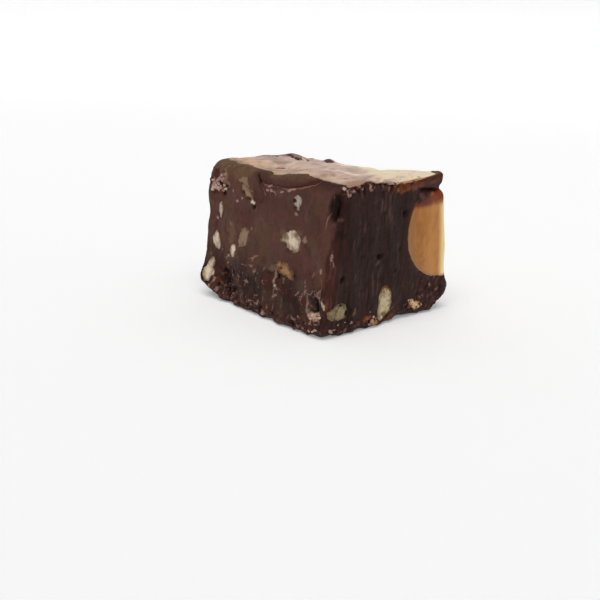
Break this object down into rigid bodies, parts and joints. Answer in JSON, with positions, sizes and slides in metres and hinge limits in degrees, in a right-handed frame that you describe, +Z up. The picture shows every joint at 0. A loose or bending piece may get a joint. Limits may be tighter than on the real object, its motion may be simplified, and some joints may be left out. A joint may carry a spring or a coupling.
{
  "type": "square of turtle fudge",
  "caption": "Knife-cut square of dark chocolate fudge with a pool of soft caramel, a thin marbled caramel top and chopped pecans.",
  "frame": {"origin": "middle of the flat face that the square rests on", "axes": "+Z up, +Y along the longer side, -Y the clean dark cut that shows the end of the caramel, -X the smeared cut with most of the nuts"},
  "size_m": [0.0401, 0.0421, 0.0316],
  "materials": {
    "chocolate_fudge": "satin dark chocolate, smeared lighter on the long cut",
    "soft_caramel": "soft satin caramel",
    "caramel_skin": "glossy caramel marbled with chocolate",
    "pecan": "matt cut nut"
  },
  "bodies": {
    "root": {"fudge": "chocolate_fudge", "caramel_pool": "soft_caramel", "caramel_skin": "caramel_skin", "pecan_left_top": "pecan", "pecan_left_upper_sliver": "pecan", "pecan_left_long": "pecan", "pecan_left_corner": "pecan", "pecan_left_small": "pecan", "pecan_left_streak": "pecan", "pecan_left_smear": "pecan", "pecan_left_sliver": "pecan", "pecan_left_centre": "pecan", "pecan_left_amber": "pecan", "pecan_left_foot": "pecan", "pecan_front_tall": "pecan", "pecan_front_wide": "pecan", "pecan_front_foot": "pecan", "pecan_right_upper": "pecan", "pecan_right_middle": "pecan", "pecan_right_low": "pecan", "pecan_right_far": "pecan", "pecan_back_centre": "pecan", "pecan_back_upper": "pecan", "pecan_back_high": "pecan", "pecan_back_low": "pecan", "pecan_back_foot": "pecan", "pecan_back_edge": "pecan"}
  },
  "joints": []
}
